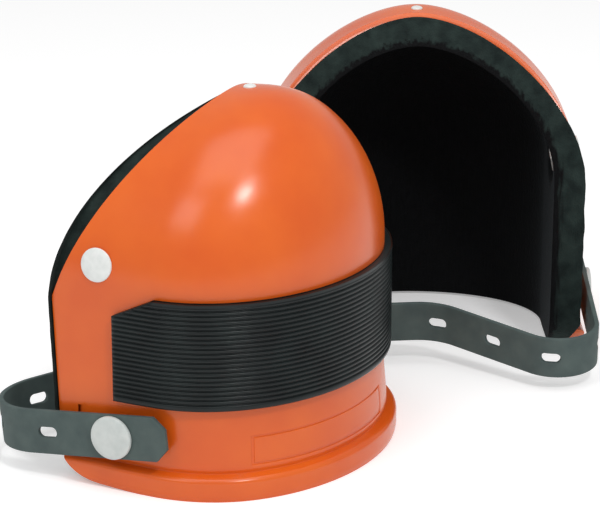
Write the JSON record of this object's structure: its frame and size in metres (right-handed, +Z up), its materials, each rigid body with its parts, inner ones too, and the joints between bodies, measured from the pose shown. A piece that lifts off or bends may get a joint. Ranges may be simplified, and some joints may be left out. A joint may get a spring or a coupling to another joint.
{
  "type": "knee pads",
  "caption": "Pair of hard-shell knee pads: domed open cups with a ribbed rubber tread, foam lining and a punched rubber leg strap that turns on a stud at each flank.",
  "frame": {"origin": "centre of the pair's footprint, on the floor that both pads stand on", "axes": "+Z up; the front pad faces -Y with the wearer's left toward +X; the rear pad stands beside it on +X, turned 116 degrees about +Z"},
  "size_m": [0.3784, 0.2368, 0.1877],
  "materials": {
    "shell_plastic": "moulded polyethylene, orange, soft gloss",
    "tread_rubber": "black moulded rubber with level ribs",
    "liner_foam": "black closed-cell foam with a brushed fabric face",
    "strap_rubber": "dark grey-green vulcanised rubber, matt",
    "rivet_plastic": "white moulded nylon",
    "stud_plastic": "pale grey-white moulded nylon",
    "washer_plastic": "pale grey nylon washer"
  },
  "bodies": {
    "front_pad": {"front_shell": "shell_plastic", "front_tread_pad": "tread_rubber", "front_foam_liner": "liner_foam", "front_rivet_left": "rivet_plastic", "front_rivet_right": "rivet_plastic", "front_rivet_top": "rivet_plastic", "front_rivet_washer_left": "washer_plastic", "front_rivet_washer_right": "washer_plastic", "front_rivet_washer_top": "washer_plastic", "front_stud_left": "stud_plastic", "front_stud_right": "stud_plastic", "front_stud_washer_left": "washer_plastic", "front_stud_washer_right": "washer_plastic"},
    "front_leg_strap": {"front_strap": "strap_rubber"},
    "rear_pad": {"rear_shell": "shell_plastic", "rear_tread_pad": "tread_rubber", "rear_foam_liner": "liner_foam", "rear_rivet_left": "rivet_plastic", "rear_rivet_right": "rivet_plastic", "rear_rivet_top": "rivet_plastic", "rear_rivet_washer_left": "washer_plastic", "rear_rivet_washer_right": "washer_plastic", "rear_rivet_washer_top": "washer_plastic", "rear_stud_left": "stud_plastic", "rear_stud_right": "stud_plastic", "rear_stud_washer_left": "washer_plastic", "rear_stud_washer_right": "washer_plastic"},
    "rear_leg_strap": {"rear_strap": "strap_rubber"}
  },
  "joints": [
    {"name": "front_strap_swing", "type": "hinge", "parent": "front_pad", "child": "front_leg_strap", "pos_m": [-0.08941, 0.03976, 0.0287], "axis": [1, 0, 0], "range_deg": [0, 38]},
    {"name": "rear_pad_lift", "type": "slide", "parent": "front_pad", "child": "rear_pad", "axis": [0, 0, 1], "range_m": [0, 0.25]},
    {"name": "rear_strap_swing", "type": "hinge", "parent": "rear_pad", "child": "rear_leg_strap", "pos_m": [0.09306, 0.00271, 0.0287], "axis": [-0.4384, 0.8988, 0], "range_deg": [0, 22]}
  ]
}
